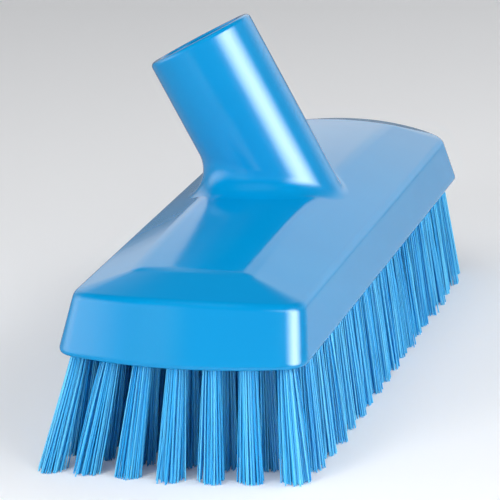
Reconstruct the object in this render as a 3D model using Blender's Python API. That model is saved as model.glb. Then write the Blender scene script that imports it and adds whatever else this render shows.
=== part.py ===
"""Water-fed scrub brush: a moulded block with a tilted, hollow handle socket, a sealing washer on
the socket's floor, and a field of bristle tufts in rows. Metres, +Z up, bristle tips at Z = 0.
X runs across the brush, Y along it, and the socket leans towards -X over the middle."""
import math

import bmesh
import bpy
from mathutils import Matrix, Vector

MM = 0.001

# Block
BLOCK_LENGTH = 270 * MM          # along Y, at the bottom rim
BLOCK_WIDTH = 89.5 * MM          # along X, at the bottom rim
SIDE_HEIGHT = 19.2 * MM          # from the rim's underside to the sides' top edge
TOP_RISE = 7.5 * MM              # from that edge to the plateau's corners
RIM_BULGE = 9.6 * MM             # how far the rounded ends stand out in the middle, at the rim
RIM_CORNER_RADIUS = 9.7 * MM     # in plan
RIM_ROUNDING = 2.3 * MM          # along the rim's lower edge
SIDE_DRAFT = 2.8 * MM            # how far the top edge lies inside the rim, on the long sides
END_DRAFT = 5.8 * MM             # the same on the ends
TOP_EDGE_BULGE = 13.7 * MM
TOP_EDGE_CORNER_RADIUS = 11.4 * MM
TOP_EDGE_CROWN = 3.4 * MM        # rise of the ends' top edge in the middle
PLATEAU_WIDTH = 40.2 * MM
PLATEAU_LENGTH = 215.4 * MM
PLATEAU_BULGE = 1.2 * MM         # how far the plateau's ends stand out in the middle
PLATEAU_CROWN = 1 * MM           # rise of the plateau along its middle line
PLATEAU_ARCH = 3.8 * MM          # rise of the plateau halfway along it, over its ends
PLATEAU_CORNER_RADIUS = 1.5 * MM

# Handle socket
SOCKET_TILT = math.radians(28)
SOCKET_DIAMETER = 41.6 * MM
SOCKET_LENGTH = 65.7 * MM        # along the axis, from the plateau's level to the mouth
SOCKET_OFFSET = 3.9 * MM         # where the axis meets the plateau's level, along X
FRONT_FILLET = 9 * MM            # between the socket and the block's top, at the front and back
TOE_FILLET = 8 * MM              # the same on the side that the socket leans away from
HEEL_FILLET = 13 * MM            # the same on the side that it leans to
HEEL_ROOM_SHARE = 0.75           # most of the way to the long side's edge that it may take
LIP_ROUNDING = 1.8 * MM          # outer edge of the mouth
BORE_DIAMETER = 29.6 * MM        # over the crests of the thread
THREAD_DEPTH = 1.2 * MM
THREAD_PITCH = 6 * MM
THREAD_START = 5 * MM            # plain length at the mouth
THREAD_RELIEF = 5 * MM           # plain length above the floor, where the washer lies
MOUTH_CHAMFER = 0.8 * MM

# Water passage and washer
CHANNEL_DIAMETER = 10 * MM
OUTLET_BOSS_WIDTH = 14.4 * MM    # along X, between the halves of the middle row
WASHER_THICKNESS = 2.5 * MM
WASHER_HOLE = 13 * MM

# Bristles
BRISTLE_LENGTH = 41 * MM         # from the rim's underside down to the floor
COLUMNS = 7                      # tufts across the brush
ROWS = 19                        # rows along the brush
SIDE_MARGIN = 5.75 * MM          # from the block's long side to the outer columns of tufts
CORNER_MARGIN = 16.2 * MM        # from the block's end to the last tuft of the outer columns
END_MARGIN = 8.1 * MM            # from the block's end to the last tuft of the middle column
SIDE_LEAN = 6.4 * MM             # outward lean of the outer columns, at the tips
END_LEAN = 5 * MM                # outward lean of the end rows, at the tips
STRANDS_PER_TUFT = 3
STRAND_SIDES = 3
STRAND_ROOT_RADIUS = 1.2 * MM
STRAND_TIP_RADIUS = 1.7 * MM
STRAND_ROOT_SPREAD = 1.6 * MM    # strand's distance from its tuft's axis, at the block
STRAND_TIP_SPREAD = 2.9 * MM     # the same at the floor
STRAND_EMBED = 1 * MM            # length of a strand inside its slice

# Backing slices, one for each row, in a recess of the block
RECESS_DEPTH = 6 * MM
RIM_WALL = 2.8 * MM
FIT_GAP = 0.3 * MM               # between pieces that touch
OVERRUN = 2 * MM                 # how far cutters run past what they cut

# Number of straight steps in the curves
CORNER_STEPS = 4
END_STEPS = 10
ROUND_STEPS = 3
ARCH_STEPS = 10
SOCKET_STEPS = 40
BORE_STEPS = 24
FILLET_STEPS = 5
FILLET_ROUNDS = 6
THREAD_STEPS_PER_TURN = 4

# Levels and shared sizes
RIM_Z = BRISTLE_LENGTH
SIDE_TOP_Z = RIM_Z + SIDE_HEIGHT
PLATEAU_Z = SIDE_TOP_Z + TOP_RISE
RECESS_Z = RIM_Z + RECESS_DEPTH
SOCKET_AXIS = Vector((-math.sin(SOCKET_TILT), 0, math.cos(SOCKET_TILT)))
SOCKET_SIDE = Vector((math.cos(SOCKET_TILT), 0, math.sin(SOCKET_TILT)))
SOCKET_FOOT = Vector((SOCKET_OFFSET, 0, PLATEAU_Z))
SOCKET_RADIUS = SOCKET_DIAMETER / 2
BORE_RADIUS = BORE_DIAMETER / 2
RELIEF_RADIUS = BORE_RADIUS + THREAD_DEPTH
BORE_FLOOR = SOCKET_OFFSET / math.sin(SOCKET_TILT)   # along the axis, right above the outlet
MIDDLE_COLUMN = (COLUMNS - 1) / 2
MIDDLE_ROW = (ROWS - 1) / 2
COLUMN_PITCH = (BLOCK_WIDTH / 2 - SIDE_MARGIN) / MIDDLE_COLUMN
EDGE_ROW_PITCH = (BLOCK_LENGTH / 2 - CORNER_MARGIN) / MIDDLE_ROW
MIDDLE_ROW_PITCH = (BLOCK_LENGTH / 2 - END_MARGIN) / MIDDLE_ROW


def reset_scene():
    for item in list(bpy.data.objects):
        bpy.data.objects.remove(item, do_unlink=True)


def make_collection(name):
    collection = bpy.data.collections.new(name)
    bpy.context.scene.collection.children.link(collection)
    return collection


def make_material(name, colour, roughness):
    material = bpy.data.materials.new(name)
    material.use_nodes = True
    shader = material.node_tree.nodes["Principled BSDF"]
    shader.inputs["Base Color"].default_value = (*colour, 1)
    shader.inputs["Roughness"].default_value = roughness
    shader.inputs["Metallic"].default_value = 0
    material.diffuse_color = (*colour, 1)
    return material


def add_object(name, mesh, collection, material=None):
    item = bpy.data.objects.new(name, mesh)
    collection.objects.link(item)
    if material:
        mesh.materials.append(material)
    return item


def as_cutter(item):
    item.hide_render = True
    item.display_type = "WIRE"
    return item


def add_boolean(item, operand, operation):
    modifier = item.modifiers.new(f"{operation.title()} {operand.name}", "BOOLEAN")
    modifier.operation = operation
    modifier.object = operand


def shade(mesh, angle=math.radians(30)):
    mesh.shade_smooth()
    mesh.set_sharp_from_angle(angle=angle)


def loft(name, rings, top_strips=False):
    """A closed solid through rings of points that run anticlockwise seen from the last ring's
    side. The last ring is closed by one face, or by strips along Y between its two ends."""
    bm = bmesh.new()
    loops = [[bm.verts.new(point) for point in ring] for ring in rings]
    count = len(loops[0])
    for lower, upper in zip(loops, loops[1:]):
        for i in range(count):
            j = (i + 1) % count
            bm.faces.new((lower[i], lower[j], upper[j], upper[i]))
    bm.faces.new(reversed(loops[0]))
    last = loops[-1]
    if top_strips:
        half = count // 2
        for i in range(half - 1):
            bm.faces.new((last[i], last[i + 1], last[count - 2 - i], last[count - 1 - i]))
    else:
        bm.faces.new(last)
    bmesh.ops.recalc_face_normals(bm, faces=bm.faces)
    mesh = bpy.data.meshes.new(name)
    bm.to_mesh(mesh)
    bm.free()
    shade(mesh)
    return mesh


def end_outline(half_width, half_length, bulge, corner_radius):
    """The far end's outline from the +X side round to the -X side: a corner arc, the end arc and
    the other corner arc."""
    end_radius = (half_width ** 2 + bulge ** 2) / (2 * bulge)
    end_centre = half_length - end_radius
    corner_x = half_width - corner_radius
    corner_y = end_centre + math.sqrt((end_radius - corner_radius) ** 2 - corner_x ** 2)
    turn = math.atan2(corner_y - end_centre, corner_x)
    points = []
    for step in range(CORNER_STEPS):
        angle = turn * step / CORNER_STEPS
        points.append((corner_x + corner_radius * math.cos(angle),
                       corner_y + corner_radius * math.sin(angle)))
    for step in range(END_STEPS + 1):
        angle = turn + (math.pi - 2 * turn) * step / END_STEPS
        points.append((end_radius * math.cos(angle), end_centre + end_radius * math.sin(angle)))
    mirrored = [(-x, y) for x, y in reversed(points[:CORNER_STEPS])]
    return points + mirrored


def outline(half_width, half_length, bulge, corner_radius):
    """The whole plan outline, anticlockwise: the far end, then the near end."""
    far = end_outline(half_width, half_length, bulge, corner_radius)
    near = [(-x, -y) for x, y in far]
    return far + near


def rim_outline(inset):
    """The rim's outline, moved inwards by a distance."""
    return outline(BLOCK_WIDTH / 2 - inset, BLOCK_LENGTH / 2 - inset,
                   RIM_BULGE, max(RIM_CORNER_RADIUS - inset, RIM_CORNER_RADIUS / 3))


def crowned(points, half_width, level, crown):
    """Points at a level, raised towards the middle of the width."""
    return [Vector((x, y, level + crown * (1 - (x / half_width) ** 2))) for x, y in points]


def arch_rise(y):
    """How far the arch lifts the plateau at a place along the block."""
    return PLATEAU_ARCH * max(0, 1 - (2 * y / PLATEAU_LENGTH) ** 2)


def arch_top(mesh):
    """Cuts the block across in even steps and lifts its top into the arch. The lift fades out
    over the shoulders, so that the sides' top edges stay straight."""
    bm = bmesh.new()
    bm.from_mesh(mesh)
    for step in range(1, ARCH_STEPS):
        y = PLATEAU_LENGTH * (step / ARCH_STEPS - 1 / 2)
        bmesh.ops.bisect_plane(bm, geom=bm.verts[:] + bm.edges[:] + bm.faces[:],
                               plane_co=(0, y, 0), plane_no=(0, 1, 0))
    for vert in bm.verts:
        share = min(1, max(0, (vert.co.z - SIDE_TOP_Z) / TOP_RISE))
        vert.co.z += arch_rise(vert.co.y) * share
    bm.to_mesh(mesh)
    bm.free()
    shade(mesh)


def top_height(x, y):
    """Height of the block's top at the socket, over the plateau and the sloping shoulders."""
    half_plateau = PLATEAU_WIDTH / 2
    half_top = BLOCK_WIDTH / 2 - SIDE_DRAFT
    rise = TOP_RISE + arch_rise(y)
    if abs(x) <= half_plateau:
        return SIDE_TOP_Z + rise + PLATEAU_CROWN * (1 - (x / half_plateau) ** 2)
    slope_share = (abs(x) - half_plateau) / (half_top - half_plateau)
    return SIDE_TOP_Z + rise * (1 - slope_share)


def block_body():
    """The block without its socket: rounded rim, drafted sides, shoulders and arched plateau."""
    rings = []
    for step in range(ROUND_STEPS + 1):
        angle = math.pi / 2 * step / ROUND_STEPS
        inset = RIM_ROUNDING * (1 - math.sin(angle))
        height = RIM_Z + RIM_ROUNDING * (1 - math.cos(angle))
        rings.append([Vector((x, y, height)) for x, y in rim_outline(inset)])
    half_top = BLOCK_WIDTH / 2 - SIDE_DRAFT
    top_edge = outline(half_top, BLOCK_LENGTH / 2 - END_DRAFT, TOP_EDGE_BULGE, TOP_EDGE_CORNER_RADIUS)
    rings.append(crowned(top_edge, half_top, SIDE_TOP_Z, TOP_EDGE_CROWN))
    half_plateau = PLATEAU_WIDTH / 2
    plateau = outline(half_plateau, PLATEAU_LENGTH / 2, PLATEAU_BULGE, PLATEAU_CORNER_RADIUS)
    rings.append(crowned(plateau, half_plateau, PLATEAU_Z, PLATEAU_CROWN))
    mesh = loft("scrub_block", rings, top_strips=True)
    arch_top(mesh)
    return mesh


def socket_point(angle, radius, along):
    """A point at a distance from the socket's axis, and along it from the plateau's level."""
    return SOCKET_FOOT + SOCKET_AXIS * along + wall_normal(angle) * radius


def socket_ring(radius, along, steps):
    return [socket_point(math.tau * step / steps, radius, along) for step in range(steps)]


def top_normal(x, y):
    """Direction square to the block's top, averaged over a small step."""
    step = FRONT_FILLET / 4
    return Vector((top_height(x - step, y) - top_height(x + step, y),
                   top_height(x, y - step) - top_height(x, y + step), 2 * step)).normalized()


def wall_normal(angle):
    return SOCKET_SIDE * math.cos(angle) + Vector((0, 1, 0)) * math.sin(angle)


def socket_place(point):
    """A point's angle round the socket's axis, its distance from it and its place along it."""
    offset = point - SOCKET_FOOT
    along = offset.dot(SOCKET_AXIS)
    side, across = offset.dot(SOCKET_SIDE), offset.y
    return math.atan2(across, side), math.hypot(side, across), along


def heel_fillet():
    """The heel's fillet, limited by the room between the socket and the long side's edge."""
    heel_x = SOCKET_RADIUS / math.cos(SOCKET_TILT) - SOCKET_OFFSET
    room = BLOCK_WIDTH / 2 - SIDE_DRAFT - heel_x
    return min(HEEL_FILLET, room * HEEL_ROOM_SHARE)


def fillet_radius(angle):
    """One size at the front and back, blending into the heel's and the toe's."""
    side = math.cos(angle)
    side_fillet = TOE_FILLET if side > 0 else heel_fillet()
    return FRONT_FILLET + (side_fillet - FRONT_FILLET) * side ** 2


def fillet_points(angle):
    """An arc from the block's top to the socket's wall, touching both, at one angle round the
    socket. The ball's centre settles in a few rounds, as the top isn't level."""
    wall = wall_normal(angle)
    radius = fillet_radius(angle)
    contact = socket_point(angle, SOCKET_RADIUS, 0)
    for _ in range(FILLET_ROUNDS):
        top = top_normal(contact.x, contact.y)
        base = Vector((contact.x, contact.y, top_height(contact.x, contact.y)))
        start = socket_point(angle, SOCKET_RADIUS, 0)
        meeting = start + SOCKET_AXIS * ((base - start).dot(top) / SOCKET_AXIS.dot(top))
        centre = meeting + (top + wall) * (radius / (1 + top.dot(wall)))
        contact = centre - top * radius
    _, reach, _ = socket_place(centre - wall * radius)
    excess = reach - SOCKET_RADIUS
    points = []
    for step in range(FILLET_STEPS + 1):
        share = step / FILLET_STEPS
        turn, distance, along = socket_place(centre - top.slerp(wall, share) * radius)
        points.append(socket_point(turn, distance - excess * share, along))
    return points


def socket_body():
    """The solid socket: a foot inside the block, the fillet, the tube and its rounded lip."""
    columns = [fillet_points(math.tau * step / SOCKET_STEPS) for step in range(SOCKET_STEPS)]
    foot_z = SIDE_TOP_Z - OVERRUN
    rings = [[Vector((column[0].x, column[0].y, foot_z)) for column in columns]]
    for level in range(FILLET_STEPS + 1):
        rings.append([column[level] for column in columns])
    turns = [socket_place(column[-1])[0] for column in columns]
    for step in range(ROUND_STEPS + 1):
        angle = math.pi / 2 * step / ROUND_STEPS
        radius = SOCKET_RADIUS - LIP_ROUNDING * (1 - math.cos(angle))
        along = SOCKET_LENGTH - LIP_ROUNDING * (1 - math.sin(angle))
        rings.append([socket_point(turn, radius, along) for turn in turns])
    return loft("socket_tube", rings)


def thread_radius(angle, along):
    """Radius of the bore's wall: a trapezium thread that fades out at both ends."""
    turn = (along / THREAD_PITCH - angle / math.tau) % 1
    groove = min(1, max(0, 2 - abs(4 * turn - 2) * 2))
    return BORE_RADIUS + THREAD_DEPTH * groove


def bore_cutter():
    """The bore's air: washer seat, thread, plain mouth and chamfer."""
    thread_low = BORE_FLOOR + THREAD_RELIEF
    thread_high = SOCKET_LENGTH - THREAD_START
    rows = round((thread_high - thread_low) / THREAD_PITCH * THREAD_STEPS_PER_TURN)
    rings = [socket_ring(RELIEF_RADIUS, BORE_FLOOR, BORE_STEPS),
             socket_ring(RELIEF_RADIUS, thread_low - THREAD_DEPTH, BORE_STEPS)]
    for row in range(rows + 1):
        along = thread_low + (thread_high - thread_low) * row / rows
        ring = []
        for step in range(BORE_STEPS):
            angle = math.tau * step / BORE_STEPS
            ring.append(socket_point(angle, thread_radius(angle, along), along))
        rings.append(ring)
    mouth_low = SOCKET_LENGTH - MOUTH_CHAMFER
    rings.append(socket_ring(RELIEF_RADIUS, thread_high + THREAD_DEPTH, BORE_STEPS))
    rings.append(socket_ring(RELIEF_RADIUS, mouth_low, BORE_STEPS))
    overrun_radius = RELIEF_RADIUS + MOUTH_CHAMFER + OVERRUN
    rings.append(socket_ring(overrun_radius, SOCKET_LENGTH + OVERRUN, BORE_STEPS))
    return loft("bore_air", rings)


def prism(name, points, low_z, high_z):
    """A flat outline, given anticlockwise, pulled up between two levels."""
    return loft(name, [[Vector((x, y, z)) for x, y in points] for z in (low_z, high_z)])


def cylinder(name, radius, low_z, high_z):
    mesh = bpy.data.meshes.new(name)
    bm = bmesh.new()
    bmesh.ops.create_cone(bm, cap_ends=True, segments=BORE_STEPS, radius1=radius, radius2=radius,
                          depth=high_z - low_z,
                          matrix=Matrix.Translation((0, 0, (low_z + high_z) / 2)))
    bm.to_mesh(mesh)
    bm.free()
    return mesh


def box(name, size_x, size_y, low_z, high_z):
    half_x, half_y = size_x / 2, size_y / 2
    corners = [(-half_x, -half_y), (half_x, -half_y), (half_x, half_y), (-half_x, half_y)]
    return prism(name, corners, low_z, high_z)


def make_block(parts, cutters, material):
    block = add_object("scrub_block", block_body(), parts, material)
    tube = as_cutter(add_object("socket_tube", socket_body(), cutters))
    recess = as_cutter(add_object(
        "recess_air", prism("recess_air", rim_outline(RIM_WALL), RIM_Z - OVERRUN, RECESS_Z), cutters))
    boss_length = row_pitch(OUTLET_BOSS_WIDTH / 2) - FIT_GAP
    boss = as_cutter(add_object(
        "outlet_boss", box("outlet_boss", OUTLET_BOSS_WIDTH, boss_length, RIM_Z, RECESS_Z + OVERRUN),
        cutters))
    channel = as_cutter(add_object(
        "channel_air", cylinder("channel_air", CHANNEL_DIAMETER / 2, RIM_Z - OVERRUN,
                                PLATEAU_Z + BORE_FLOOR + OVERRUN), cutters))
    bore = as_cutter(add_object("bore_air", bore_cutter(), cutters))
    add_boolean(block, tube, "UNION")
    add_boolean(block, recess, "DIFFERENCE")
    add_boolean(block, boss, "UNION")
    add_boolean(block, channel, "DIFFERENCE")
    add_boolean(block, bore, "DIFFERENCE")


def make_washer(parts, material):
    """The sealing washer, lying on the bore's floor round the channel."""
    low = BORE_FLOOR + FIT_GAP
    high = low + WASHER_THICKNESS
    outer = RELIEF_RADIUS - FIT_GAP
    inner = WASHER_HOLE / 2
    bm = bmesh.new()
    profile = [(outer, low), (outer, high), (inner, high), (inner, low)]
    loops = []
    for radius, along in profile:
        loops.append([bm.verts.new(point) for point in socket_ring(radius, along, BORE_STEPS)])
    for lower, upper in zip(loops, loops[1:] + loops[:1]):
        for i in range(BORE_STEPS):
            j = (i + 1) % BORE_STEPS
            bm.faces.new((lower[i], lower[j], upper[j], upper[i]))
    bmesh.ops.recalc_face_normals(bm, faces=bm.faces)
    mesh = bpy.data.meshes.new("socket_washer")
    bm.to_mesh(mesh)
    bm.free()
    shade(mesh)
    add_object("socket_washer", mesh, parts, material)


def row_pitch(x):
    """Spacing of the rows at a place across the brush: wider in the middle, so that the rows bow
    with the rounded ends."""
    outer_x = COLUMN_PITCH * MIDDLE_COLUMN
    bow_share = 1 - min(1, (x / outer_x) ** 2)
    return EDGE_ROW_PITCH + (MIDDLE_ROW_PITCH - EDGE_ROW_PITCH) * bow_share


def add_strand(bm, root, tip, turn):
    """A three-sided strand, flat at the floor, leaning from its root to its tip."""
    top_z = RIM_Z + STRAND_EMBED
    lean = (root - tip) / RIM_Z
    shear = Matrix.Identity(4)
    shear[0][2] = lean.x
    shear[1][2] = lean.y
    raised = Matrix.Translation((0, 0, top_z / 2)) @ Matrix.Rotation(turn, 4, "Z")
    placed = Matrix.Translation((tip.x, tip.y, 0)) @ shear @ raised
    bmesh.ops.create_cone(bm, cap_ends=True, segments=STRAND_SIDES, radius1=STRAND_TIP_RADIUS,
                          radius2=STRAND_ROOT_RADIUS, depth=top_z, matrix=placed)


def strand_mesh(name, row, columns):
    """All strands of a row's tufts, each tuft opening out towards the floor."""
    bm = bmesh.new()
    for column in columns:
        x = COLUMN_PITCH * (column - MIDDLE_COLUMN)
        y = row_pitch(x) * (row - MIDDLE_ROW)
        lean_x = SIDE_LEAN * (column - MIDDLE_COLUMN) / MIDDLE_COLUMN
        lean_y = END_LEAN * (row - MIDDLE_ROW) / MIDDLE_ROW
        for strand in range(STRANDS_PER_TUFT):
            turn = math.tau * strand / STRANDS_PER_TUFT + math.pi / 2
            outward = Vector((math.cos(turn), math.sin(turn)))
            root = Vector((x, y)) + outward * STRAND_ROOT_SPREAD
            tip = Vector((x + lean_x, y + lean_y)) + outward * STRAND_TIP_SPREAD
            add_strand(bm, root, tip, turn)
    mesh = bpy.data.meshes.new(name)
    bm.to_mesh(mesh)
    bm.free()
    return mesh


def slice_points(row, low_x, high_x):
    """A row's slice of the backing in plan, bowed like its row. The end rows run past the
    recess, which trims them."""
    low, high = [], []
    for step in range(END_STEPS + 1):
        x = low_x + (high_x - low_x) * step / END_STEPS
        pitch = row_pitch(x)
        low_y = pitch * (row - MIDDLE_ROW - 1 / 2) + FIT_GAP / 2
        high_y = pitch * (row - MIDDLE_ROW + 1 / 2) - FIT_GAP / 2
        low.append((x, low_y - (pitch if row == 0 else 0)))
        high.append((x, high_y + (pitch if row == ROWS - 1 else 0)))
    return low + high[::-1]


def make_row(name, row, columns, low_x, high_x, backing, parts, cutters, material):
    points = slice_points(row, low_x, high_x)
    item = add_object(name, prism(name, points, RIM_Z, RECESS_Z - FIT_GAP), parts, material)
    add_boolean(item, backing, "INTERSECT")
    strands = as_cutter(add_object(
        name + "_strands", strand_mesh(name + "_strands", row, columns), cutters))
    add_boolean(item, strands, "UNION")


def make_rows(parts, cutters, material):
    """One node for each row of tufts. The middle row is two halves, with the outlet between."""
    fit_outline = rim_outline(RIM_WALL + FIT_GAP)
    backing = as_cutter(add_object(
        "backing", prism("backing", fit_outline, RIM_Z - OVERRUN, RECESS_Z), cutters))
    edge = BLOCK_WIDTH / 2
    inner = OUTLET_BOSS_WIDTH / 2 + FIT_GAP
    half = COLUMNS // 2
    for row in range(ROWS):
        name = f"tuft_row_{row + 1:02d}"
        if row == ROWS // 2:
            make_row(name + "_left", row, range(half), -edge, -inner, backing, parts, cutters, material)
            make_row(name + "_right", row, range(half + 1, COLUMNS), inner, edge, backing, parts,
                     cutters, material)
        else:
            make_row(name, row, range(COLUMNS), -edge, edge, backing, parts, cutters, material)


def main():
    reset_scene()
    parts = make_collection("water_fed_scrub_brush")
    cutters = make_collection("cutters")
    blue_plastic = make_material("blue_plastic", (0.0, 0.28, 0.68), 0.2)
    blue_bristle = make_material("blue_bristle", (0.03, 0.38, 0.82), 0.4)
    black_rubber = make_material("black_rubber", (0.02, 0.02, 0.02), 0.7)
    make_block(parts, cutters, blue_plastic)
    make_washer(parts, black_rubber)
    make_rows(parts, cutters, blue_bristle)


main()
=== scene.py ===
"""Water-fed scrub brush, dressed: a glossy moulded block with a tilted handle socket, a rubber
washer on the socket's floor, and 132 tufts of straight filaments. Metres, +Z up. The filaments
stand on the floor at Z = 0, X runs across the brush and Y along it."""
import math
import random

import bmesh
import bpy
from mathutils import Matrix, Vector


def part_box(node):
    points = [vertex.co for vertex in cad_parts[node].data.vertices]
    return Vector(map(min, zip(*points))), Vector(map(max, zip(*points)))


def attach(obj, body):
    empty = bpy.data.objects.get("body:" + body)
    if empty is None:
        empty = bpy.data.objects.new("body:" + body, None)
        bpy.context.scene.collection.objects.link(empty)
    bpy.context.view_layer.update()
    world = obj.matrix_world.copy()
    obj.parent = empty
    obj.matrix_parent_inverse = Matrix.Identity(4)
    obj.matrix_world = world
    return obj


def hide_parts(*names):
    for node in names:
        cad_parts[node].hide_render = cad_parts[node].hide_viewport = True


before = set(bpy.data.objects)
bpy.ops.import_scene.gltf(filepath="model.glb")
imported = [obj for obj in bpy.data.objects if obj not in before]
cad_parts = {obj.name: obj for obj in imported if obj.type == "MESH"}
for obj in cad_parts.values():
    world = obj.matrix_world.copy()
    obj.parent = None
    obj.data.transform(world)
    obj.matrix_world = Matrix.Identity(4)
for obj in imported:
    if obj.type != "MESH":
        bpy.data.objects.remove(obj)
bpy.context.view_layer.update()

MM = 0.001
block_low, block_high = (Vector(corner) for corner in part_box("scrub_block"))

# Block, as the solid has it
BLOCK_LENGTH = block_high.y - block_low.y
BLOCK_WIDTH = block_high.x - block_low.x
RIM_Z = block_low.z
SIDE_HEIGHT = 19.2 * MM
TOP_RISE = 7.5 * MM
RIM_BULGE = 9.6 * MM
RIM_CORNER_RADIUS = 9.7 * MM
RIM_CORNER_LEAST = RIM_CORNER_RADIUS / 3   # of the outline inside the rim
RIM_REFERENCE = 2.3 * MM         # height at which the rim has its full width
SIDE_DRAFT = 2.8 * MM
END_DRAFT = 5.8 * MM
TOP_EDGE_BULGE = 13.7 * MM
TOP_EDGE_CORNER_RADIUS = 11.4 * MM
TOP_EDGE_CROWN = 3.4 * MM
PLATEAU_WIDTH = 40.2 * MM
PLATEAU_LENGTH = 215.4 * MM
PLATEAU_BULGE = 1.2 * MM
PLATEAU_CROWN = 1 * MM
PLATEAU_ARCH = 3.8 * MM          # rise of its middle over its ends, along Y
PLATEAU_CORNER_RADIUS = 1.5 * MM
INNER_CORNER_RADIUS = PLATEAU_CORNER_RADIUS / 2   # of the outline inside the plateau's rounding

# Rounded edges of the moulding: how far each rounding reaches to either side of its edge
RIM_REACH = 2.6 * MM
TOP_EDGE_REACH = 2.2 * MM
PLATEAU_REACH = 3 * MM
UNDERSIDE_INSET = 5 * MM         # past the rim's rounding, on the flat underside
SLOPE_STEP = PLATEAU_REACH / 6   # to either side of a point, to measure the top's slope there

# Handle socket, as the solid has it
SOCKET_TILT = math.radians(28)
SOCKET_DIAMETER = 41.6 * MM
SOCKET_LENGTH = 65.7 * MM
SOCKET_OFFSET = 3.9 * MM
FRONT_FILLET = 9 * MM
TOE_FILLET = 8 * MM
HEEL_FILLET = 13 * MM
FILLET_SINK = 0.15 * MM          # how deep the fillet's foot lies under the block's skin
LIP_ROUNDING = 1.8 * MM
LIP_INNER_ROUNDING = 0.8 * MM
MOUTH_SLANT_SHARE = 0.03         # the mouth is cut a little higher on its -Y side
BORE_DIAMETER = 29.6 * MM
THREAD_DEPTH = 1.2 * MM
THREAD_PITCH = 6 * MM
THREAD_START = 5 * MM
THREAD_RELIEF = 5 * MM
CHANNEL_DIAMETER = 10 * MM
WASHER_THICKNESS = 2.5 * MM
WASHER_HOLE = 13 * MM
WASHER_ROUNDING = 0.4 * MM
FIT_GAP = 0.3 * MM
OVERRUN = 2 * MM                 # how far a cut or a foot runs on into what it meets

# Edges that turn by more than this stay crisp
BLOCK_SHARP_ANGLE = math.radians(38)
WASHER_SHARP_ANGLE = math.radians(50)
FILAMENT_SHARP_ANGLE = math.radians(80)

# Tufts: the solid's grid but for the end rows' inset, with the lean that the photograph shows
COLUMNS = 7
ROWS = 19
SIDE_MARGIN = 5.75 * MM
CORNER_MARGIN = 16.2 * MM
END_MARGIN = 8.1 * MM
HOLE_RADIUS = 3.2 * MM
HOLE_DEPTH = 7 * MM
HOLE_CHAMFER = 0.5 * MM
OUTLET_CHAMFER = 1 * MM
END_ROW_INSET = 2.6 * MM         # the end rows' outer tufts stand in from the rounded corners
END_ROW_FADE = 16                # the rows next to them do so far less
SIDE_LEAN = 5.4 * MM             # outward, of the outer columns' tips
SIDE_SET = -0.9 * MM             # all tips are pressed a little to -X
END_LEAN = 5 * MM                # outward, of the +Y end row's tips
# How far the -Y end row's tips stand off along X and Y, column by column, in millimetres
FRONT_ROW_SET = ((-9.3, -12.5), (-9, -8), (-5.8, -5.9), (-2.3, -5.7), (-0.4, -5.4),
                 (1.7, -5.1), (4.8, -7))
FRONT_ROW_FADE = 6               # the rows behind it follow it less and less
TUFT_JITTER = 0.5 * MM           # no two tufts lean quite alike

# Filaments: extruded 0.5 mm, nearly straight, most of them cut level at the floor
FILAMENTS_PER_TUFT = 84
FILAMENT_RADIUS = 0.25 * MM
FILAMENT_SIDES = 5
FILAMENT_STEPS = 4
BUNDLE_ROOT_RADIUS = 2.85 * MM
BUNDLE_TIP_RADIUS = 4.8 * MM
ROOT_INSET = 4 * MM              # length of a filament inside its hole
TIP_JITTER = 0.6 * MM
TIP_UNEVENNESS = 0.7 * MM        # how much shorter a filament is at most
SHORT_TIP_RARITY = 3             # the higher, the fewer filaments are much shorter
BOW = 0.4 * MM                   # how far a filament bows out of its straight line
CLUMPS = 7                       # strands of a tuft that keep together
CLUMP_PULL_SHARE = 0.35          # of the way to its clump's middle, at most
CLUMP_JITTER = 0.45 * MM
STRAY_SHARE = 0.02               # of the filaments lean out of their tuft
STRAY_REACH = 1.2 * MM
SEED = 7043
TEXTURE_BANDS = 4                # the texture map holds the filaments in this many bands
CAP_SHARE = 0.25                 # radius of an end face there, in a strip's width

# Number of straight steps in the curves
CORNER_STEPS = 12
END_STEPS = 40
ROUND_STEPS = 6
ARCH_STEPS = 40
SOCKET_STEPS = 96
FILLET_STEPS = 14
FILLET_ROUNDS = 6
THREAD_STEPS_PER_TURN = 12
BORE_STEPS = 96
HOLE_STEPS = 20

# Levels and shared sizes
SIDE_TOP_Z = RIM_Z + SIDE_HEIGHT
PLATEAU_Z = SIDE_TOP_Z + TOP_RISE
HALF_TOP = BLOCK_WIDTH / 2 - SIDE_DRAFT
HALF_PLATEAU = PLATEAU_WIDTH / 2
SOCKET_AXIS = Vector((-math.sin(SOCKET_TILT), 0, math.cos(SOCKET_TILT)))
SOCKET_SIDE = Vector((math.cos(SOCKET_TILT), 0, math.sin(SOCKET_TILT)))
SOCKET_FOOT = Vector((SOCKET_OFFSET, 0, PLATEAU_Z))
SOCKET_RADIUS = SOCKET_DIAMETER / 2
BORE_RADIUS = BORE_DIAMETER / 2
RELIEF_RADIUS = BORE_RADIUS + THREAD_DEPTH
BORE_FLOOR = SOCKET_OFFSET / math.sin(SOCKET_TILT)
MIDDLE_COLUMN = (COLUMNS - 1) / 2
MIDDLE_ROW = (ROWS - 1) / 2
COLUMN_PITCH = (BLOCK_WIDTH / 2 - SIDE_MARGIN) / MIDDLE_COLUMN
EDGE_ROW_PITCH = (BLOCK_LENGTH / 2 - CORNER_MARGIN) / MIDDLE_ROW
MIDDLE_ROW_PITCH = (BLOCK_LENGTH / 2 - END_MARGIN) / MIDDLE_ROW

# Camera, fitted to the photograph's 500 x 500 frame
CAMERA_AZIMUTH = math.radians(15.97)
CAMERA_ELEVATION = math.radians(16.54)
CAMERA_ROLL = math.radians(-1.56)
CAMERA_DISTANCE = 1192.95 * MM
CAMERA_TARGET = Vector((-4.23, -17.85, 49.26)) * MM
SENSOR_WIDTH = 36
LENS = 229.16
CLIP_START = 0.05
CLIP_END = 50

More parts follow.
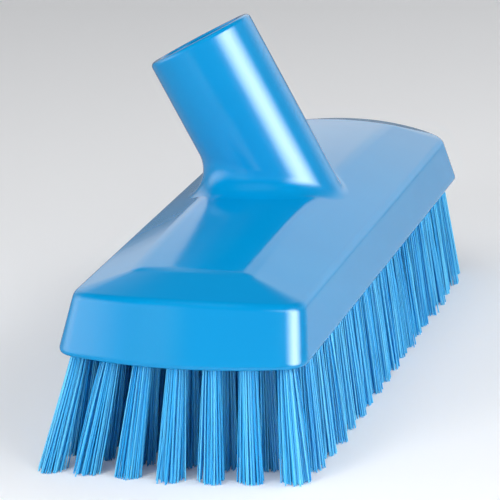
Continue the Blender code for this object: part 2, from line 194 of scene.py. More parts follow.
# Looks: sRGB colours, sizes of the patterns and the roughness between which they vary
PLASTIC_COLOURS = ("0088C6", "0091CD")
PLASTIC_ROUGHNESS = (0.11, 0.16)
DYE_PATCH = 35 * MM
SHRINKAGE_WAVE = 14 * MM
SHRINKAGE_DEPTH = 0.06 * MM
GLOSS_PATCH = 3 * MM             # of the plastic and the filaments
FILAMENT_COLOURS = ("10A6EA", "66D4FF")
FILAMENT_ROUGHNESS = (0.3, 0.45)
RUBBER_COLOURS = ("1A1B1D", "2A2B2E")
RUBBER_GRAIN = 0.6 * MM
RUBBER_GRAIN_DEPTH = 0.05 * MM
# Painted shade on the floor: all rays but the camera's see the paper in this dimmer colour on its -X
# side
PAPER_SHADE_COLOUR = "AEAFB1"
PAPER_COLOUR = "F4F5F7"
PAPER_SHADE_END = -100 * MM        # along X: fully dim up to here
PALE_PAPER_START = 60 * MM       # along X: fully pale from here on
PAPER_GLOW = 0.05
FLOOR_HALF_SIZE = 8

# Lights: azimuth and elevation in degrees, distance, width and height in metres, and power
LEFT_FILL = (-24, 16, 0.9, 0.32, 0.56, 3.75)
RIGHT_FILL = (46, 16, 0.9, 0.32, 0.56, 3.1)
TOP_LIGHT = (-10, 68, 0.8, 0.5, 0.5, 2.3)
LEFT_LIGHT = (-80, 14, 1.6, 3.6, 1.4, 40)
RIGHT_LIGHT = (112, 38, 1.6, 2.2, 1.4, 46)
KEY_LIGHT = (74, 22, 1.5, 1.85, 1.7, 168)
EDGE_SHARE = 0.5                 # of the width and height, over which a soft box fades out

# World: where its parts begin and end along the direction of sight, and how strong they are
WORLD_COLOUR = "F6F7F9"
CEILING_PLACE = (math.sin(math.radians(26)), math.sin(math.radians(40)))
CEILING_STRENGTH = (1, 0.1)
HAZE_PLACE = (0, math.sin(math.radians(12)))
HAZE_STRENGTH = (0.85, 1)
BACK_WALL_PLACE = (0.5, 0.95)
BACK_WALL_STRENGTH = (0.3, 1.3)
LEFT_WALL_PLACE = (-0.7, -0.2)
LEFT_WALL_STRENGTH = (0.75, 1)


def add_object(name, mesh, material=None):
    item = bpy.data.objects.new(name, mesh)
    bpy.context.scene.collection.objects.link(item)
    if material:
        mesh.materials.append(material)
    return item


def finished_mesh(bm, name):
    mesh = bpy.data.meshes.new(name)
    bm.to_mesh(mesh)
    bm.free()
    return mesh


def add_loft(bm, rings, caps=True):
    """Faces through rings of points, each ring closed in itself."""
    loops = [[bm.verts.new(point) for point in ring] for ring in rings]
    count = len(loops[0])
    for lower, upper in zip(loops, loops[1:]):
        for i in range(count):
            j = (i + 1) % count
            bm.faces.new((lower[i], lower[j], upper[j], upper[i]))
    if caps:
        bm.faces.new(reversed(loops[0]))
        bm.faces.new(loops[-1])


def closed_loft(name, rings, caps=True):
    bm = bmesh.new()
    add_loft(bm, rings, caps)
    bmesh.ops.recalc_face_normals(bm, faces=bm.faces)
    return finished_mesh(bm, name)


def combine(item, operand, operation):
    """Gives the item the mesh of its Boolean with another object, which is used up."""
    modifier = item.modifiers.new(operation.title(), "BOOLEAN")
    modifier.operation = operation
    modifier.solver = "MANIFOLD"
    modifier.object = operand
    evaluated = item.evaluated_get(bpy.context.evaluated_depsgraph_get())
    mesh = bpy.data.meshes.new_from_object(evaluated)
    item.modifiers.clear()
    item.data = mesh
    bpy.data.objects.remove(operand, do_unlink=True)


def shade_moulded(item, sharp_angle):
    """Smooth shading led by the large faces, with edges over an angle kept crisp."""
    item.data.shade_smooth()
    item.data.set_sharp_from_angle(angle=sharp_angle)
    modifier = item.modifiers.new("Weighted normals", "WEIGHTED_NORMAL")
    modifier.keep_sharp = True


# Outline of the block in plan

def end_outline(half_width, half_length, bulge, corner_radius):
    """The far end's outline from the +X side round to the -X side: corner, end arc, corner."""
    end_radius = (half_width ** 2 + bulge ** 2) / (2 * bulge)
    end_centre = half_length - end_radius
    corner_x = half_width - corner_radius
    corner_y = end_centre + math.sqrt((end_radius - corner_radius) ** 2 - corner_x ** 2)
    turn = math.atan2(corner_y - end_centre, corner_x)
    points = []
    for step in range(CORNER_STEPS):
        angle = turn * step / CORNER_STEPS
        points.append(Vector((corner_x + corner_radius * math.cos(angle),
                              corner_y + corner_radius * math.sin(angle))))
    for step in range(END_STEPS + 1):
        angle = turn + (math.pi - 2 * turn) * step / END_STEPS
        points.append(Vector((end_radius * math.cos(angle),
                              end_centre + end_radius * math.sin(angle))))
    mirrored = [Vector((-point.x, point.y)) for point in reversed(points[:CORNER_STEPS])]
    return points + mirrored


def outline(half_width, half_length, bulge, corner_radius):
    far = end_outline(half_width, half_length, bulge, corner_radius)
    return far + [-point for point in far]


def rim_outline(inset):
    return outline(BLOCK_WIDTH / 2 - inset, BLOCK_LENGTH / 2 - inset,
                   RIM_BULGE, max(RIM_CORNER_RADIUS - inset, RIM_CORNER_LEAST))


def raised(points, half_width, level, crown):
    """The outline's points at a level, higher towards the middle of the width."""
    return [Vector((point.x, point.y, level + crown * (1 - (point.x / half_width) ** 2)))
            for point in points]


def turned(before, corner, after, reach):
    """Points of a rounding that leaves one straight stretch and joins the next."""
    start = corner + (before - corner).normalized() * reach
    end = corner + (after - corner).normalized() * reach
    points = []
    for step in range(ROUND_STEPS + 1):
        share = step / ROUND_STEPS
        points.append(start.lerp(corner, share).lerp(corner.lerp(end, share), share))
    return points


def block_profiles():
    """For each point of the outline, the line from the underside over the rim, up the drafted
    side and over the shoulder onto the plateau."""
    rim = raised(rim_outline(0), BLOCK_WIDTH / 2, RIM_Z + RIM_REFERENCE, 0)
    underside = raised(rim_outline(UNDERSIDE_INSET), BLOCK_WIDTH / 2, RIM_Z, 0)
    top_edge = raised(outline(HALF_TOP, BLOCK_LENGTH / 2 - END_DRAFT, TOP_EDGE_BULGE,
                              TOP_EDGE_CORNER_RADIUS), HALF_TOP, SIDE_TOP_Z, TOP_EDGE_CROWN)
    plateau = raised(outline(HALF_PLATEAU, PLATEAU_LENGTH / 2, PLATEAU_BULGE,
                             PLATEAU_CORNER_RADIUS), HALF_PLATEAU, PLATEAU_Z, PLATEAU_CROWN)
    inner = raised(outline(HALF_PLATEAU - PLATEAU_REACH, PLATEAU_LENGTH / 2 - PLATEAU_REACH,
                           PLATEAU_BULGE, INNER_CORNER_RADIUS),
                   HALF_PLATEAU, PLATEAU_Z, PLATEAU_CROWN)
    profiles = []
    for under, low, edge, flat, inward in zip(underside, rim, top_edge, plateau, inner):
        foot = edge + (low - edge) * ((edge.z - RIM_Z) / (edge.z - low.z))
        profiles.append(turned(under, foot, edge, RIM_REACH)
                        + turned(foot, edge, flat, TOP_EDGE_REACH)
                        + turned(edge, flat, inward, PLATEAU_REACH))
    return profiles


def arch_rise(y):
    """How far the arch lifts the plateau at a place along the block."""
    return PLATEAU_ARCH * max(0, 1 - (2 * y / PLATEAU_LENGTH) ** 2)


def arch_top(bm):
    """Cuts the block across in even steps and lifts its top into the arch. The lift fades out
    over the shoulders, so the sides' top edges stay straight."""
    for step in range(1, ARCH_STEPS):
        y = PLATEAU_LENGTH * (step / ARCH_STEPS - 1 / 2)
        bmesh.ops.bisect_plane(bm, geom=bm.verts[:] + bm.edges[:] + bm.faces[:],
                               plane_co=(0, y, 0), plane_no=(0, 1, 0))
    for vert in bm.verts:
        share = min(1, max(0, (vert.co.z - SIDE_TOP_Z) / TOP_RISE))
        vert.co.z += arch_rise(vert.co.y) * share


def block_mesh():
    """The block without its socket. The plateau is closed by strips along Y."""
    profiles = block_profiles()
    bm = bmesh.new()
    columns = [[bm.verts.new(point) for point in profile] for profile in profiles]
    count = len(columns)
    for i in range(count):
        here, there = columns[i], columns[(i + 1) % count]
        for level in range(len(here) - 1):
            bm.faces.new((here[level], there[level], there[level + 1], here[level + 1]))
    bm.faces.new([column[0] for column in reversed(columns)])
    half = count // 2
    for i in range(half - 1):
        bm.faces.new((columns[i][-1], columns[i + 1][-1],
                      columns[count - 2 - i][-1], columns[count - 1 - i][-1]))
    arch_top(bm)
    bmesh.ops.recalc_face_normals(bm, faces=bm.faces)
    return finished_mesh(bm, "moulded_block")


# Handle socket

def top_height(x, y):
    """Height of the block's top at the socket: crowned plateau, rounded break, shoulder."""
    side = abs(x)
    if side <= HALF_PLATEAU:
        height = TOP_RISE + PLATEAU_CROWN * (1 - (side / HALF_PLATEAU) ** 2)
    else:
        height = TOP_RISE - TOP_RISE * (side - HALF_PLATEAU) / (HALF_TOP - HALF_PLATEAU)
    slope_change = TOP_RISE / (HALF_TOP - HALF_PLATEAU) - 2 * PLATEAU_CROWN / HALF_PLATEAU
    nearness = max(0, 1 - abs(side - HALF_PLATEAU) / PLATEAU_REACH)
    height -= PLATEAU_REACH * slope_change / 4 * nearness ** 2
    return SIDE_TOP_Z + height + arch_rise(y) * min(1, height / TOP_RISE)


def top_normal(x, y):
    return Vector((top_height(x - SLOPE_STEP, y) - top_height(x + SLOPE_STEP, y),
                   top_height(x, y - SLOPE_STEP) - top_height(x, y + SLOPE_STEP),
                   2 * SLOPE_STEP)).normalized()


def wall_normal(angle):
    return SOCKET_SIDE * math.cos(angle) + Vector((0, 1, 0)) * math.sin(angle)


def socket_point(angle, radius, along):
    """A point at a distance from the socket's axis, and along it from the plateau's level."""
    return SOCKET_FOOT + SOCKET_AXIS * along + wall_normal(angle) * radius


def slanted_point(angle, radius, along):
    return socket_point(angle, radius, along - MOUTH_SLANT_SHARE * radius * math.sin(angle))


def socket_place(point):
    """A point's angle round the socket's axis, its distance from it and its place along it."""
    offset = point - SOCKET_FOOT
    side, across = offset.dot(SOCKET_SIDE), offset.y
    return math.atan2(across, side), math.hypot(side, across), offset.dot(SOCKET_AXIS)


def socket_ring(radius, along, steps):
    return [socket_point(math.tau * step / steps, radius, along) for step in range(steps)]


def fillet_radius(angle):
    side = math.cos(angle)
    side_fillet = TOE_FILLET if side > 0 else HEEL_FILLET
    return FRONT_FILLET + (side_fillet - FRONT_FILLET) * side ** 2


def fillet_points(angle):
    """The arc of a ball that rolls between the block's top and the socket's wall."""
    wall = wall_normal(angle)
    radius = fillet_radius(angle)
    contact = socket_point(angle, SOCKET_RADIUS, 0)
    for _ in range(FILLET_ROUNDS):
        top = top_normal(contact.x, contact.y)
        base = Vector((contact.x, contact.y, top_height(contact.x, contact.y)))
        start = socket_point(angle, SOCKET_RADIUS, 0)
        meeting = start + SOCKET_AXIS * ((base - start).dot(top) / SOCKET_AXIS.dot(top))
        centre = meeting + (top + wall) * (radius / (1 + top.dot(wall)))
        contact = centre - top * radius
    _, reach, _ = socket_place(centre - wall * radius)
    excess = reach - SOCKET_RADIUS
    points = []
    for step in range(FILLET_STEPS + 1):
        share = step / FILLET_STEPS
        turn, distance, along = socket_place(centre - top.slerp(wall, share) * radius)
        points.append(socket_point(turn, distance - excess * share, along))
    points[0] -= top * FILLET_SINK
    return points


def socket_mesh():
    """The solid socket: foot, fillet, tube and the lip's outer rounding."""
    columns = [fillet_points(math.tau * step / SOCKET_STEPS) for step in range(SOCKET_STEPS)]
    rings = [[Vector((column[0].x, column[0].y, SIDE_TOP_Z - OVERRUN)) for column in columns]]
    for level in range(FILLET_STEPS + 1):
        rings.append([column[level] for column in columns])
    turns = [socket_place(column[-1])[0] for column in columns]
    for step in range(ROUND_STEPS + 1):
        angle = math.pi / 2 * step / ROUND_STEPS
        radius = SOCKET_RADIUS - LIP_ROUNDING * (1 - math.cos(angle))
        along = SOCKET_LENGTH - LIP_ROUNDING * (1 - math.sin(angle))
        rings.append([slanted_point(turn, radius, along) for turn in turns])
    return closed_loft("socket_tube", rings)


def thread_radius(angle, along):
    """Radius of the bore's wall: a rounded trapezium thread, right-handed."""
    turn = (along / THREAD_PITCH - angle / math.tau) % 1
    groove = min(1, max(0, 2 - abs(4 * turn - 2) * 2))
    return BORE_RADIUS + THREAD_DEPTH * groove ** 2 * (3 - 2 * groove)


def bore_mesh():
    """The bore's air: washer seat, thread that runs out at both ends, and rounded mouth."""
    low = BORE_FLOOR + THREAD_RELIEF
    high = SOCKET_LENGTH - THREAD_START
    rows = round((high - low) / THREAD_PITCH * THREAD_STEPS_PER_TURN)
    rings = [socket_ring(RELIEF_RADIUS, BORE_FLOOR, BORE_STEPS),
             socket_ring(RELIEF_RADIUS, low - THREAD_DEPTH, BORE_STEPS)]
    for row in range(rows + 1):
        along = low + (high - low) * row / rows
        rings.append([socket_point(math.tau * step / BORE_STEPS,
                                   thread_radius(math.tau * step / BORE_STEPS, along), along)
                      for step in range(BORE_STEPS)])
    rings.append(socket_ring(RELIEF_RADIUS, high + THREAD_DEPTH, BORE_STEPS))
    for step in range(ROUND_STEPS + 1):
        angle = math.pi / 2 * step / ROUND_STEPS
        radius = RELIEF_RADIUS + LIP_INNER_ROUNDING * (1 - math.cos(angle))
        along = SOCKET_LENGTH - LIP_INNER_ROUNDING * (1 - math.sin(angle))
        rings.append([slanted_point(math.tau * step / BORE_STEPS, radius, along)
                      for step in range(BORE_STEPS)])
    mouth_radius = RELIEF_RADIUS + LIP_INNER_ROUNDING
    rings.append(socket_ring(mouth_radius, SOCKET_LENGTH + OVERRUN, BORE_STEPS))
    return closed_loft("bore_air", rings)


def add_plug(bm, x, y, radius, chamfer, high_z):
    """The air of a hole in the underside, with a chamfered mouth."""
    low_z = RIM_Z - OVERRUN
    rings = [(radius + chamfer, low_z), (radius + chamfer, RIM_Z), (radius, RIM_Z + chamfer),
             (radius, high_z)]
    angles = [math.tau * step / HOLE_STEPS for step in range(HOLE_STEPS)]
    add_loft(bm, [[(x + ring_radius * math.cos(angle), y + ring_radius * math.sin(angle), z)
                   for angle in angles] for ring_radius, z in rings])


def holes_mesh():
    """The air of all tuft holes and of the water channel."""
    bm = bmesh.new()
    for row, column in tuft_places():
        x, y = tuft_root(row, column)
        add_plug(bm, x, y, HOLE_RADIUS, HOLE_CHAMFER, RIM_Z + HOLE_DEPTH)
    add_plug(bm, 0, 0, CHANNEL_DIAMETER / 2, OUTLET_CHAMFER, PLATEAU_Z + BORE_FLOOR + OVERRUN)
    return finished_mesh(bm, "holes_air")


def make_block(material):
    """Block and socket are one moulding, so they become one mesh."""
    block = add_object("moulded_block", block_mesh())
    combine(block, add_object("socket_tube", socket_mesh()), "UNION")
    combine(block, add_object("bore_air", bore_mesh()), "DIFFERENCE")
    combine(block, add_object("holes_air", holes_mesh()), "DIFFERENCE")
    block.data.materials.clear()
    block.data.materials.append(material)
    shade_moulded(block, BLOCK_SHARP_ANGLE)
    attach(block, "root")
    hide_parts("scrub_block")


def make_washer(material):
    """A flat ring with soft edges, on the bore's floor."""
    low = BORE_FLOOR + FIT_GAP
    high = low + WASHER_THICKNESS
    outer = RELIEF_RADIUS - FIT_GAP
    inner = WASHER_HOLE / 2
    corners = [((outer, low), (1, -1)), ((outer, high), (1, 1)),
               ((inner, high), (-1, 1)), ((inner, low), (-1, -1))]
    profile = []
    for index, ((radius, along), (out, up)) in enumerate(corners):
        centre = (radius - out * WASHER_ROUNDING, along - up * WASHER_ROUNDING)
        for step in range(ROUND_STEPS + 1):
            angle = math.pi / 2 * (index - 1 + step / ROUND_STEPS)
            profile.append((centre[0] + WASHER_ROUNDING * math.cos(angle),
                            centre[1] + WASHER_ROUNDING * math.sin(angle)))
    rings = [socket_ring(radius, along, BORE_STEPS) for radius, along in profile]
    mesh = closed_loft("sealing_washer", rings + rings[:1], caps=False)
    bm = bmesh.new()
    bm.from_mesh(mesh)
    bmesh.ops.remove_doubles(bm, verts=bm.verts, dist=WASHER_ROUNDING / 100)
    bmesh.ops.recalc_face_normals(bm, faces=bm.faces)
    bm.to_mesh(mesh)
    bm.free()
    washer = add_object("sealing_washer", mesh, material)
    shade_moulded(washer, WASHER_SHARP_ANGLE)
    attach(washer, "root")
    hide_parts("socket_washer")


# Tufts

def tuft_places():
    """Every tuft's row and column. The middle one is left out for the water's outlet."""
    return [(row, column) for row in range(ROWS) for column in range(COLUMNS)
            if (row, column) != (MIDDLE_ROW, MIDDLE_COLUMN)]


def tuft_root(row, column):
    """Centre of a tuft's hole. The rows bow with the rounded ends."""
    across = (column - MIDDLE_COLUMN) / MIDDLE_COLUMN
    along = (row - MIDDLE_ROW) / MIDDLE_ROW
    half_width = COLUMN_PITCH * MIDDLE_COLUMN - END_ROW_INSET * along ** END_ROW_FADE
    pitch = EDGE_ROW_PITCH + (MIDDLE_ROW_PITCH - EDGE_ROW_PITCH) * (1 - across ** 2)
    return Vector((half_width * across, pitch * (row - MIDDLE_ROW)))


def tuft_lean(row, column):
    """How far a tuft's tips stand off from its root."""
    across = (column - MIDDLE_COLUMN) / MIDDLE_COLUMN
    along = (row - MIDDLE_ROW) / MIDDLE_ROW
    regular = Vector((SIDE_LEAN * across + SIDE_SET, END_LEAN * along))
    return regular.lerp(Vector(FRONT_ROW_SET[column]) * MM, max(0, -along) ** FRONT_ROW_FADE)


def scatter(rng, reach):
    """A small random offset in plan."""
    return Vector((rng.gauss(0, reach / 2), rng.gauss(0, reach / 2)))


def disc_place(index, count, radius):
    """Evenly packed places on a disc, from the middle out."""
    golden_angle = math.pi * (3 - math.sqrt(5))
    distance = radius * math.sqrt((index + 0.5) / count)
    angle = golden_angle * index
    return Vector((distance * math.cos(angle), distance * math.sin(angle)))


def filament_line(root, tip, tip_z, bow):
    """The filament's middle line, straight but for a slight bow."""
    points = []
    for step in range(FILAMENT_STEPS + 1):
        share = step / FILAMENT_STEPS
        place = root.lerp(tip, share) + bow * (4 * share * (1 - share))
        height = (RIM_Z + ROOT_INSET) * (1 - share) + tip_z * share
        points.append(Vector((place.x, place.y, height)))
    return points


def tuft_lines(row, column, rng):
    """Middle lines of a tuft's filaments: packed at the root, opening out towards the floor, and
    keeping together in clumps."""
    root_centre = tuft_root(row, column)
    tip_centre = root_centre + tuft_lean(row, column) + scatter(rng, TUFT_JITTER)
    spin = Matrix.Rotation(rng.uniform(0, math.tau), 2)
    centres = [spin @ disc_place(index, CLUMPS, BUNDLE_TIP_RADIUS) for index in range(CLUMPS)]
    drifts = [scatter(rng, CLUMP_JITTER) for _ in centres]
    lines = []
    for index in range(FILAMENTS_PER_TUFT):
        place = spin @ disc_place(index, FILAMENTS_PER_TUFT, 1)
        tip_offset = place * BUNDLE_TIP_RADIUS
        clump = min(range(CLUMPS), key=lambda number: (centres[number] - tip_offset).length)
        tip_offset = tip_offset.lerp(centres[clump], CLUMP_PULL_SHARE * rng.random())
        tip_offset += drifts[clump] + scatter(rng, TIP_JITTER)
        if rng.random() < STRAY_SHARE:
            tip_offset += place * STRAY_REACH
        bow = scatter(rng, BOW)
        tip_z = TIP_UNEVENNESS * rng.random() ** SHORT_TIP_RARITY
        lines.append(filament_line(root_centre + place * BUNDLE_ROOT_RADIUS,
                                   tip_centre + tip_offset, tip_z, bow))
    return lines


def filaments_mesh(name, lines, rng):
    """Round filaments along their lines, each with its own shade. Every filament has a strip of
    its own in the texture map."""
    angles = [math.tau * side / FILAMENT_SIDES for side in range(FILAMENT_SIDES)]
    corners = [(math.cos(angle), math.sin(angle)) for angle in angles]
    vertices, faces, places, shades = [], [], [], []
    strips = math.ceil(len(lines) / TEXTURE_BANDS)
    for index, line in enumerate(lines):
        band, strip = divmod(index, strips)
        first = len(vertices)
        for point in line:
            for x, y in corners:
                vertices.append((point.x + x * FILAMENT_RADIUS,
                                 point.y + y * FILAMENT_RADIUS, point.z))
        shades.extend([rng.random()] * (len(line) * FILAMENT_SIDES))
        for step in range(len(line) - 1):
            for side in range(FILAMENT_SIDES):
                turn = (side + 1) % FILAMENT_SIDES
                low = first + step * FILAMENT_SIDES
                high = low + FILAMENT_SIDES
                faces.append((low + side, high + side, high + turn, low + turn))
                left = (strip + side / FILAMENT_SIDES) / strips
                right = (strip + (side + 1) / FILAMENT_SIDES) / strips
                top = (band + step / len(line)) / TEXTURE_BANDS
                bottom = (band + (step + 1) / len(line)) / TEXTURE_BANDS
                places.extend([(left, top), (left, bottom), (right, bottom), (right, top)])
        last = first + (len(line) - 1) * FILAMENT_SIDES
        faces.append(tuple(last + side for side in reversed(range(FILAMENT_SIDES))))
        faces.append(tuple(first + side for side in range(FILAMENT_SIDES)))
        for _ in range(2):
            for x, y in corners:
                places.append(((strip + 0.5 + x * CAP_SHARE) / strips,
                               (band + 1 - (0.5 + y * CAP_SHARE) / len(line)) / TEXTURE_BANDS))
    mesh = bpy.data.meshes.new(name)
    mesh.from_pydata(vertices, [], faces)
    shade = mesh.attributes.new("filament_shade", "FLOAT", "POINT")
    shade.data.foreach_set("value", shades)
    uv = mesh.uv_layers.new(name="OFBake")
    uv.data.foreach_set("uv", [value for place in places for value in place])
    mesh.shade_smooth()
    mesh.set_sharp_from_angle(angle=FILAMENT_SHARP_ANGLE)
    return mesh


def make_row(node, places, material):
    rng = random.Random(f"{SEED} {node}")
    lines = []
    for row, column in places:
        lines += tuft_lines(row, column, rng)
    name = node + "_filaments"
    item = add_object(name, filaments_mesh(name, lines, rng), material)
    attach(item, "root")
    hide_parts(node)


def make_rows(material):
    for row in range(ROWS):
        node = f"tuft_row_{row + 1:02d}"
        places = [place for place in tuft_places() if place[0] == row]
        if row == MIDDLE_ROW:
            left = [place for place in places if place[1] < MIDDLE_COLUMN]
            right = [place for place in places if place[1] > MIDDLE_COLUMN]
            make_row(node + "_left", left, material)
            make_row(node + "_right", right, material)
        else:
            make_row(node, places, material)


# Materials

def linear(hex_colour):
    """An sRGB hex colour as linear red, green, blue and alpha."""
    values = []
    for start in (0, 2, 4):
        share = int(hex_colour[start:start + 2], 16) / 255
        values.append(share / 12.92 if share <= 0.04045 else ((share + 0.055) / 1.055) ** 2.4)
    return (*values, 1)


def add_node(tree, kind, settings=(), links=()):
    """A node with its settings, and with sockets that take a value or another node's output."""
    node = tree.nodes.new(kind)
    for key, value in dict(settings).items():
        setattr(node, key, value)
    for key, value in dict(links).items():
        if isinstance(value, bpy.types.NodeSocket):
            tree.links.new(value, node.inputs[key])
        else:
            node.inputs[key].default_value = value
    return node


def noise(tree, size, detail):
    """Noise in patches of a real size, as a share from 0 to 1."""
    place = add_node(tree, "ShaderNodeTexCoord").outputs["Object"]
    return add_node(tree, "ShaderNodeTexNoise", {}, {
        "Vector": place, "Scale": 1 / size, "Detail": detail}).outputs["Fac"]


def between(tree, share, low, high):
    return add_node(tree, "ShaderNodeMapRange", {}, {
        "Value": share, "To Min": low, "To Max": high}).outputs["Result"]


def ramp(tree, value, start, end, low=0, high=1):
    """A smooth change from low to high while the value goes from start to end."""
    return add_node(tree, "ShaderNodeMapRange", {"interpolation_type": "SMOOTHSTEP"}, {
        "Value": value, "From Min": start, "From Max": end,
        "To Min": low, "To Max": high}).outputs["Result"]


def product(tree, first, second):
    return add_node(tree, "ShaderNodeMath", {"operation": "MULTIPLY"}, {
        0: first, 1: second}).outputs[0]


def mixed(tree, share, first, second):
    """The mix of two sRGB hex colours, by a share."""
    return add_node(tree, "ShaderNodeMix", {"data_type": "RGBA"}, {
        0: share, 6: linear(first), 7: linear(second)}).outputs[2]


def bumps(tree, height, strength, depth):
    return add_node(tree, "ShaderNodeBump", {}, {
        "Height": height, "Strength": strength, "Distance": depth}).outputs["Normal"]


def new_material(name):
    material = bpy.data.materials.new(name)
    material.use_nodes = True
    return material, material.node_tree, material.node_tree.nodes["Principled BSDF"]


def moulded_polypropylene():
    """Injection-moulded polypropylene, dyed through: a smooth, glossy skin that mirrors its
    surroundings softly, with slow waves from shrinkage and a dye that is a touch uneven."""
    material, tree, shader = new_material("moulded_polypropylene")
    dye = mixed(tree, noise(tree, DYE_PATCH, 2), *PLASTIC_COLOURS)
    waves = bumps(tree, noise(tree, SHRINKAGE_WAVE, 1), 1, SHRINKAGE_DEPTH)
    gloss = between(tree, noise(tree, GLOSS_PATCH, 3), *PLASTIC_ROUGHNESS)
    tree.links.new(dye, shader.inputs["Base Color"])
    tree.links.new(gloss, shader.inputs["Roughness"])
    tree.links.new(waves, shader.inputs["Normal"])
    shader.inputs["IOR"].default_value = 1.5
    return material


def polyester_filament():
    """Extruded polyester filament: satin, each strand its own shade, and its gloss a touch
    uneven from place to place."""
    material, tree, shader = new_material("polyester_filament")
    shade = add_node(tree, "ShaderNodeAttribute", {"attribute_name": "filament_shade"}).outputs["Fac"]
    dye = mixed(tree, shade, *FILAMENT_COLOURS)
    gloss = between(tree, noise(tree, GLOSS_PATCH, 2), *FILAMENT_ROUGHNESS)
    tree.links.new(dye, shader.inputs["Base Color"])
    tree.links.new(gloss, shader.inputs["Roughness"])
    shader.inputs["IOR"].default_value = 1.57
    shader.inputs["Specular IOR Level"].default_value = 0.4
    return material


def moulded_rubber():
    """Moulded nitrile rubber: near black, dull, with a fine grain."""
    material, tree, shader = new_material("moulded_nitrile_rubber")
    grain = noise(tree, RUBBER_GRAIN, 4)
    soot = mixed(tree, grain, *RUBBER_COLOURS)
    tree.links.new(soot, shader.inputs["Base Color"])
    tree.links.new(bumps(tree, grain, 0.3, RUBBER_GRAIN_DEPTH), shader.inputs["Normal"])
    shader.inputs["Roughness"].default_value = 0.7
    return material


def matt_paper():
    """Matt paper. The camera sees it pale. In mirrors and in the light that it throws back, it carries
    painted shade: it is dimmer on the -X side, so that the socket's left side mirrors less of it."""
    material, tree, shader = new_material("matt_paper")
    seen = add_node(tree, "ShaderNodeLightPath").outputs["Is Camera Ray"]
    place = add_node(tree, "ShaderNodeTexCoord").outputs["Object"]
    across = add_node(tree, "ShaderNodeSeparateXYZ", {}, {0: place}).outputs["X"]
    # Painted shade: from -X to +X the paper goes from its dim colour to pale, for all rays but the
    # camera's
    lit = ramp(tree, across, PAPER_SHADE_END, PALE_PAPER_START)
    pale = add_node(tree, "ShaderNodeMath", {"operation": "MAXIMUM"}, {0: seen, 1: lit}).outputs[0]
    paper = mixed(tree, pale, PAPER_SHADE_COLOUR, PAPER_COLOUR)
    tree.links.new(paper, shader.inputs["Base Color"])
    tree.links.new(product(tree, seen, PAPER_GLOW), shader.inputs["Emission Strength"])
    shader.inputs["Emission Color"].default_value = linear(PAPER_COLOUR)
    shader.inputs["Roughness"].default_value = 0.9
    shader.inputs["Specular IOR Level"].default_value = 0.1
    return material


# Studio

def direction(azimuth, elevation):
    """From the brush outwards. Azimuth 0 is the side that -Y faces, and it turns towards +X."""
    azimuth, elevation = math.radians(azimuth), math.radians(elevation)
    return Vector((math.sin(azimuth) * math.cos(elevation),
                   -math.cos(azimuth) * math.cos(elevation), math.sin(elevation)))


def add_softbox(name, azimuth, elevation, distance, width, height, power, edge_share=0):
    """A soft box that faces the brush. Its light fades out over a share of its width and height,
    as it does through cloth in front of a lamp."""
    lamp = bpy.data.lights.new(name, "AREA")
    lamp.shape = "RECTANGLE"
    lamp.size, lamp.size_y = width, height
    lamp.energy = power
    item = bpy.data.objects.new(name, lamp)
    bpy.context.scene.collection.objects.link(item)
    towards = direction(azimuth, elevation)
    item.location = CAMERA_TARGET + towards * distance
    item.rotation_euler = towards.to_track_quat("Z", "Y").to_euler()
    item.visible_camera = False
    if edge_share:
        lamp.use_nodes = True
        tree = lamp.node_tree
        place = add_node(tree, "ShaderNodeNewGeometry").outputs["Parametric"]
        sides = add_node(tree, "ShaderNodeSeparateXYZ", {}, {0: place})
        fades = []
        for axis in "XY":
            inward = add_node(tree, "ShaderNodeMath", {"operation": "PINGPONG"}, {
                0: sides.outputs[axis], 1: 0.5}).outputs[0]
            fades.append(ramp(tree, inward, 0, edge_share))
        tree.links.new(product(tree, *fades), tree.nodes["Emission"].inputs["Strength"])
    return item


def make_floor():
    bm = bmesh.new()
    bmesh.ops.create_grid(bm, x_segments=1, y_segments=1, size=FLOOR_HALF_SIZE)
    floor = add_object("studio_floor", finished_mesh(bm, "studio_floor"), matt_paper())


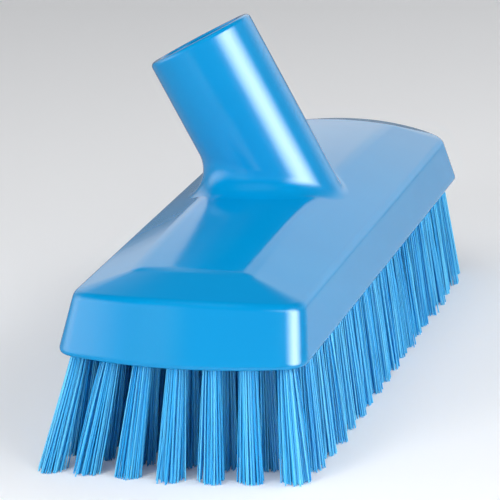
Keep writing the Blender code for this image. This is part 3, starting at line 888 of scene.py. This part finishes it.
def make_lights():
    """Soft boxes round the brush. It mirrors only the left light and the key light."""
    for name, place in (("left_fill", LEFT_FILL), ("right_fill", RIGHT_FILL), ("top_light", TOP_LIGHT)):
        light = add_softbox(name, *place)
        light.visible_glossy = False
    add_softbox("left_light", *LEFT_LIGHT, edge_share=EDGE_SHARE)
    right = add_softbox("right_light", *RIGHT_LIGHT, edge_share=EDGE_SHARE)
    right.visible_glossy = False
    # A bright box that draws the long highlights and doesn't light the brush otherwise
    key = add_softbox("key_light", *KEY_LIGHT, edge_share=EDGE_SHARE)
    key.visible_diffuse = False


def make_world():
    """A room that is bright behind the brush and dim before it, with a dark ceiling that the
    sloping end mirrors."""
    world = bpy.data.worlds.new("studio_world")
    bpy.context.scene.world = world
    world.use_nodes = True
    tree = world.node_tree
    tree.nodes.clear()
    place = add_node(tree, "ShaderNodeTexCoord").outputs["Generated"]
    parts = add_node(tree, "ShaderNodeSeparateXYZ", {}, {0: place}).outputs
    ceiling = ramp(tree, parts["Z"], *CEILING_PLACE, *CEILING_STRENGTH)
    haze = ramp(tree, parts["Z"], *HAZE_PLACE, *HAZE_STRENGTH)
    back_wall = ramp(tree, parts["Y"], *BACK_WALL_PLACE, *BACK_WALL_STRENGTH)
    left_wall = ramp(tree, parts["X"], *LEFT_WALL_PLACE, *LEFT_WALL_STRENGTH)
    strength = product(tree, product(tree, product(tree, ceiling, haze), back_wall), left_wall)
    light = add_node(tree, "ShaderNodeBackground", {}, {
        "Color": linear(WORLD_COLOUR), "Strength": strength})
    add_node(tree, "ShaderNodeOutputWorld", {}, {"Surface": light.outputs[0]})


def make_camera():
    camera = bpy.data.cameras.new("camera")
    camera.sensor_width = SENSOR_WIDTH
    camera.lens = LENS
    camera.clip_start = CLIP_START
    camera.clip_end = CLIP_END
    item = bpy.data.objects.new("camera", camera)
    bpy.context.scene.collection.objects.link(item)
    back = direction(math.degrees(CAMERA_AZIMUTH), math.degrees(CAMERA_ELEVATION))
    right = Vector((math.cos(CAMERA_AZIMUTH), math.sin(CAMERA_AZIMUTH), 0))
    up = back.cross(right)
    turn = Matrix((right, up, back)).transposed().to_4x4()
    item.matrix_world = (Matrix.Translation(CAMERA_TARGET + back * CAMERA_DISTANCE)
                         @ turn @ Matrix.Rotation(CAMERA_ROLL, 4, "Z"))
    bpy.context.scene.camera = item


def main():
    make_camera()
    make_floor()
    make_lights()
    make_world()
    bpy.context.scene.view_settings.view_transform = "Standard"
    make_block(moulded_polypropylene())
    make_washer(moulded_rubber())
    make_rows(polyester_filament())


main()
